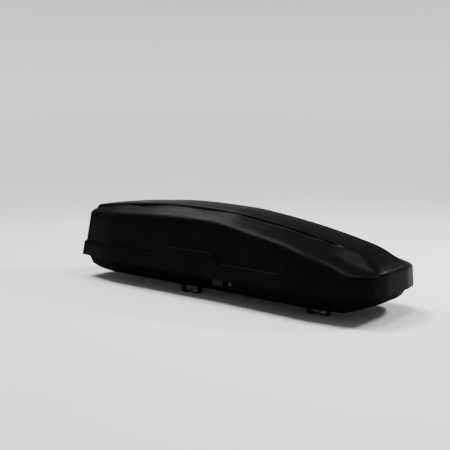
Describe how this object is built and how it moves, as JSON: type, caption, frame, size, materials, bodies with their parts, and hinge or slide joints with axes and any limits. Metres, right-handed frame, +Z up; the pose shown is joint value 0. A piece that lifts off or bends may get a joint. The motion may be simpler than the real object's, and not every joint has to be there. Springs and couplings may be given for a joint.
{
  "type": "roof box",
  "caption": "Long hard-shell car roof box with a tapered lid that opens from either side, gas struts, sliding latches and quick clamps that grip roof crossbars.",
  "frame": {"origin": "centre of the box's outline at the level of the bottoms of the clamp claws", "axes": "+X forward to the nose, +Y to the left, +Z up"},
  "size_m": [1.92, 0.6118, 0.4527],
  "materials": {
    "lid_plastic": "fine matt grain, near black",
    "base_plastic": "coarser matt grain, near black",
    "clamp_plastic": "matt glass-filled plastic",
    "knob_plastic": "matt grey plastic",
    "black_steel": "black powder coat",
    "plain_steel": "zinc plated",
    "bright_rod": "polished",
    "webbing": "woven webbing",
    "rivet_plastic": "satin black"
  },
  "bodies": {
    "base": {"base_tray": "base_plastic", "base_rail_left": "plain_steel", "hinge_posts_left": "clamp_plastic", "latch_frame_left": "clamp_plastic", "base_rail_right": "plain_steel", "hinge_posts_right": "clamp_plastic", "latch_frame_right": "clamp_plastic", "strut_feet": "black_steel", "clamp_housing_front_left": "clamp_plastic", "clamp_housing_front_right": "clamp_plastic", "clamp_housing_rear_left": "clamp_plastic", "clamp_housing_rear_right": "clamp_plastic", "fixed_jaws": "black_steel", "load_strap_rear": "webbing", "strap_buckle_rear": "clamp_plastic", "load_strap_front": "webbing", "strap_buckle_front": "clamp_plastic"},
    "right_pins": {"hinge_pins_right": "plain_steel"},
    "lid": {"lid_shell": "lid_plastic", "lid_rib_front": "black_steel", "lid_rib_rear": "black_steel", "side_rivets": "rivet_plastic", "nose_rivets": "rivet_plastic", "lid_bracket_rear_left": "black_steel", "lid_bracket_middle_left": "black_steel", "lid_bracket_front_left": "black_steel", "lid_bracket_rear_right": "black_steel", "lid_bracket_middle_right": "black_steel", "lid_bracket_front_right": "black_steel", "strut_hangers_rear": "black_steel", "strut_hangers_front": "black_steel"},
    "left_pins": {"hinge_pins_left": "plain_steel"},
    "strut_tube_rear_left": {"strut_tube_rear_left": "black_steel"},
    "strut_rod_rear_left": {"strut_rod_rear_left": "bright_rod"},
    "strut_tube_rear_right": {"strut_tube_rear_right": "black_steel"},
    "strut_rod_rear_right": {"strut_rod_rear_right": "bright_rod"},
    "strut_tube_front_left": {"strut_tube_front_left": "black_steel"},
    "strut_rod_front_left": {"strut_rod_front_left": "bright_rod"},
    "strut_tube_front_right": {"strut_tube_front_right": "black_steel"},
    "strut_rod_front_right": {"strut_rod_front_right": "bright_rod"},
    "latch_left": {"lock_rail_left": "plain_steel", "latch_grip_left": "knob_plastic"},
    "key_barrel_left": {"lock_barrel_left": "bright_rod"},
    "latch_right": {"lock_rail_right": "plain_steel", "latch_grip_right": "knob_plastic"},
    "key_barrel_right": {"lock_barrel_right": "bright_rod"},
    "knob_front_left": {"clamp_knob_front_left": "knob_plastic"},
    "nut_front_left": {"clamp_nut_front_left": "plain_steel"},
    "jaw_front_left": {"clamp_jaw_front_left": "black_steel"},
    "knob_front_right": {"clamp_knob_front_right": "knob_plastic"},
    "nut_front_right": {"clamp_nut_front_right": "plain_steel"},
    "jaw_front_right": {"clamp_jaw_front_right": "black_steel"},
    "knob_rear_left": {"clamp_knob_rear_left": "knob_plastic"},
    "nut_rear_left": {"clamp_nut_rear_left": "plain_steel"},
    "jaw_rear_left": {"clamp_jaw_rear_left": "black_steel"},
    "knob_rear_right": {"clamp_knob_rear_right": "knob_plastic"},
    "nut_rear_right": {"clamp_nut_rear_right": "plain_steel"},
    "jaw_rear_right": {"clamp_jaw_rear_right": "black_steel"}
  },
  "joints": [
    {"name": "lid_open_right", "type": "hinge", "parent": "base", "child": "right_pins", "pos_m": [0, 0.204, 0.13], "axis": [-1, 0, 0], "range_deg": [0, 45]},
    {"name": "lid_open_left", "type": "hinge", "parent": "right_pins", "child": "lid", "pos_m": [0, -0.204, 0.13], "axis": [1, 0, 0], "range_deg": [0, 45]},
    {"name": "left_pins_lift", "type": "hinge", "parent": "base", "child": "left_pins", "pos_m": [0, -0.204, 0.13], "axis": [1, 0, 0], "range_deg": [0, 45]},
    {"name": "strut_tube_rear_left_swing", "type": "hinge", "parent": "base", "child": "strut_tube_rear_left", "pos_m": [-0.652, 0.18869, 0.09305], "axis": [-1, 0, 0], "range_deg": [0, 45.1]},
    {"name": "strut_rod_rear_left_stroke", "type": "slide", "parent": "strut_tube_rear_left", "child": "strut_rod_rear_left", "axis": [0, -0.9956, 0.0937], "range_m": [0, 0.0308]},
    {"name": "strut_tube_rear_right_swing", "type": "hinge", "parent": "base", "child": "strut_tube_rear_right", "pos_m": [-0.632, -0.18869, 0.09305], "axis": [1, 0, 0], "range_deg": [0, 45.1]},
    {"name": "strut_rod_rear_right_stroke", "type": "slide", "parent": "strut_tube_rear_right", "child": "strut_rod_rear_right", "axis": [0, 0.9956, 0.0937], "range_m": [0, 0.0308]},
    {"name": "strut_tube_front_left_swing", "type": "hinge", "parent": "base", "child": "strut_tube_front_left", "pos_m": [0.735, 0.18869, 0.09305], "axis": [-1, 0, 0], "range_deg": [0, 45.1]},
    {"name": "strut_rod_front_left_stroke", "type": "slide", "parent": "strut_tube_front_left", "child": "strut_rod_front_left", "axis": [0, -0.9956, 0.0937], "range_m": [0, 0.0308]},
    {"name": "strut_tube_front_right_swing", "type": "hinge", "parent": "base", "child": "strut_tube_front_right", "pos_m": [0.755, -0.18869, 0.09305], "axis": [1, 0, 0], "range_deg": [0, 45.1]},
    {"name": "strut_rod_front_right_stroke", "type": "slide", "parent": "strut_tube_front_right", "child": "strut_rod_front_right", "axis": [0, 0.9956, 0.0937], "range_m": [0, 0.0308]},
    {"name": "latch_slide_left", "type": "slide", "parent": "base", "child": "latch_left", "axis": [-1, 0, 0], "range_m": [0, 0.016]},
    {"name": "key_turn_left", "type": "hinge", "parent": "base", "child": "key_barrel_left", "pos_m": [0.17, 0.21, 0.093], "axis": [0, 1, 0], "range_deg": [0, 90]},
    {"name": "latch_slide_right", "type": "slide", "parent": "base", "child": "latch_right", "axis": [-1, 0, 0], "range_m": [0, 0.016]},
    {"name": "key_turn_right", "type": "hinge", "parent": "base", "child": "key_barrel_right", "pos_m": [0.17, -0.21, 0.093], "axis": [0, -1, 0], "range_deg": [0, 90]},
    {"name": "knob_turn_front_left", "type": "hinge", "parent": "base", "child": "knob_front_left", "pos_m": [0.637, 0.152, 0.11], "axis": [0, 0, 1], "range_deg": [0, 1440]},
    {"name": "nut_travel_front_left", "type": "slide", "parent": "base", "child": "nut_front_left", "axis": [0, 0, -1], "range_m": [0, 0.0201]},
    {"name": "jaw_swing_front_left", "type": "hinge", "parent": "base", "child": "jaw_front_left", "pos_m": [0.687, 0.152, 0.066], "axis": [0, -1, 0], "range_deg": [0, 30.2]},
    {"name": "knob_turn_front_right", "type": "hinge", "parent": "base", "child": "knob_front_right", "pos_m": [0.637, -0.152, 0.11], "axis": [0, 0, 1], "range_deg": [0, 1440]},
    {"name": "nut_travel_front_right", "type": "slide", "parent": "base", "child": "nut_front_right", "axis": [0, 0, -1], "range_m": [0, 0.0201]},
    {"name": "jaw_swing_front_right", "type": "hinge", "parent": "base", "child": "jaw_front_right", "pos_m": [0.687, -0.152, 0.066], "axis": [0, -1, 0], "range_deg": [0, 30.2]},
    {"name": "knob_turn_rear_left", "type": "hinge", "parent": "base", "child": "knob_rear_left", "pos_m": [-0.138, 0.152, 0.11], "axis": [0, 0, 1], "range_deg": [0, 1440]},
    {"name": "nut_travel_rear_left", "type": "slide", "parent": "base", "child": "nut_rear_left", "axis": [0, 0, -1], "range_m": [0, 0.0201]},
    {"name": "jaw_swing_rear_left", "type": "hinge", "parent": "base", "child": "jaw_rear_left", "pos_m": [-0.088, 0.152, 0.066], "axis": [0, -1, 0], "range_deg": [0, 30.2]},
    {"name": "knob_turn_rear_right", "type": "hinge", "parent": "base", "child": "knob_rear_right", "pos_m": [-0.138, -0.152, 0.11], "axis": [0, 0, 1], "range_deg": [0, 1440]},
    {"name": "nut_travel_rear_right", "type": "slide", "parent": "base", "child": "nut_rear_right", "axis": [0, 0, -1], "range_m": [0, 0.0201]},
    {"name": "jaw_swing_rear_right", "type": "hinge", "parent": "base", "child": "jaw_rear_right", "pos_m": [-0.088, -0.152, 0.066], "axis": [0, -1, 0], "range_deg": [0, 30.2]}
  ],
  "couplings": [
    {"joint": "left_pins_lift", "follows": "lid_open_left", "ratio": 1},
    {"joint": "strut_tube_rear_left_swing", "follows": "lid_open_right", "ratio": 1},
    {"joint": "strut_rod_rear_left_stroke", "follows": "lid_open_right", "m_per_rad": 0.038821},
    {"joint": "strut_tube_rear_right_swing", "follows": "lid_open_left", "ratio": 1},
    {"joint": "strut_rod_rear_right_stroke", "follows": "lid_open_left", "m_per_rad": 0.038821},
    {"joint": "strut_tube_front_left_swing", "follows": "lid_open_right", "ratio": 1},
    {"joint": "strut_rod_front_left_stroke", "follows": "lid_open_right", "m_per_rad": 0.038821},
    {"joint": "strut_tube_front_right_swing", "follows": "lid_open_left", "ratio": 1},
    {"joint": "strut_rod_front_right_stroke", "follows": "lid_open_left", "m_per_rad": 0.038821},
    {"joint": "nut_travel_front_left", "follows": "knob_turn_front_left", "m_per_rad": 0.00079577},
    {"joint": "jaw_swing_front_left", "follows": "knob_turn_front_left", "ratio": 0.020833},
    {"joint": "nut_travel_front_right", "follows": "knob_turn_front_right", "m_per_rad": 0.00079577},
    {"joint": "jaw_swing_front_right", "follows": "knob_turn_front_right", "ratio": 0.020833},
    {"joint": "nut_travel_rear_left", "follows": "knob_turn_rear_left", "m_per_rad": 0.00079577},
    {"joint": "jaw_swing_rear_left", "follows": "knob_turn_rear_left", "ratio": 0.020833},
    {"joint": "nut_travel_rear_right", "follows": "knob_turn_rear_right", "m_per_rad": 0.00079577},
    {"joint": "jaw_swing_rear_right", "follows": "knob_turn_rear_right", "ratio": 0.020833}
  ]
}
